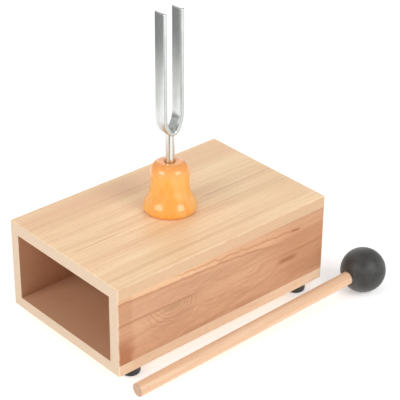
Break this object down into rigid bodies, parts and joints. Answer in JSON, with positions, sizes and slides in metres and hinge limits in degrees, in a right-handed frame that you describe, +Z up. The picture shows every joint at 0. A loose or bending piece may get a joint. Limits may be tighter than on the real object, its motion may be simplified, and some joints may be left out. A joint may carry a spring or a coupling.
{
  "type": "tuning fork on resonance box with mallet",
  "caption": "Two-prong tuning fork standing in a turned wooden socket on an open-ended wooden resonance box with rubber feet, and its ball-headed striking mallet.",
  "frame": {"origin": "middle of the resonance box's footprint, on the surface that its feet stand on", "axes": "+X along the box from the open end to the closed end, +Y across it away from the side where the mallet lies, +Z up along the fork's stem"},
  "size_m": [0.2148, 0.1499, 0.214],
  "materials": {
    "pale_wood": "sanded, clear satin lacquer",
    "red_wood": "sanded, clear satin lacquer",
    "honey_lacquer": "turned, glossy tinted lacquer",
    "stick_wood": "sanded, untreated",
    "fork_metal": "polished nickel plate with faint lengthways grain",
    "stem_metal": "bright turned rod",
    "screw_metal": "zinc plated",
    "foot_rubber": "matte",
    "ball_rubber": "satin, moulded"
  },
  "bodies": {
    "box": {"top_board": "pale_wood", "bottom_board": "pale_wood", "near_side": "red_wood", "far_side": "red_wood", "end_board": "red_wood", "bell_socket": "honey_lacquer", "bell_screw": "screw_metal", "bell_washer": "screw_metal", "foot_near_open": "foot_rubber", "foot_far_open": "foot_rubber", "foot_near_closed": "foot_rubber", "foot_far_closed": "foot_rubber", "foot_screws": "screw_metal", "foot_washers": "screw_metal"},
    "stem": {"fork_stem": "stem_metal"},
    "prongs": {"fork_prongs": "fork_metal"},
    "mallet": {"mallet_stick": "stick_wood", "mallet_ball": "ball_rubber"}
  },
  "joints": [
    {"name": "fork_lift", "type": "slide", "parent": "box", "child": "stem", "axis": [0, 0, 1], "range_m": [0, 0.034]},
    {"name": "fork_turn", "type": "hinge", "parent": "stem", "child": "prongs", "pos_m": [0, 0, 0.1275], "axis": [0, 0, 1], "continuous": true},
    {"name": "mallet_lift", "type": "slide", "parent": "box", "child": "mallet", "axis": [0, 0, 1], "range_m": [0, 0.12]}
  ]
}
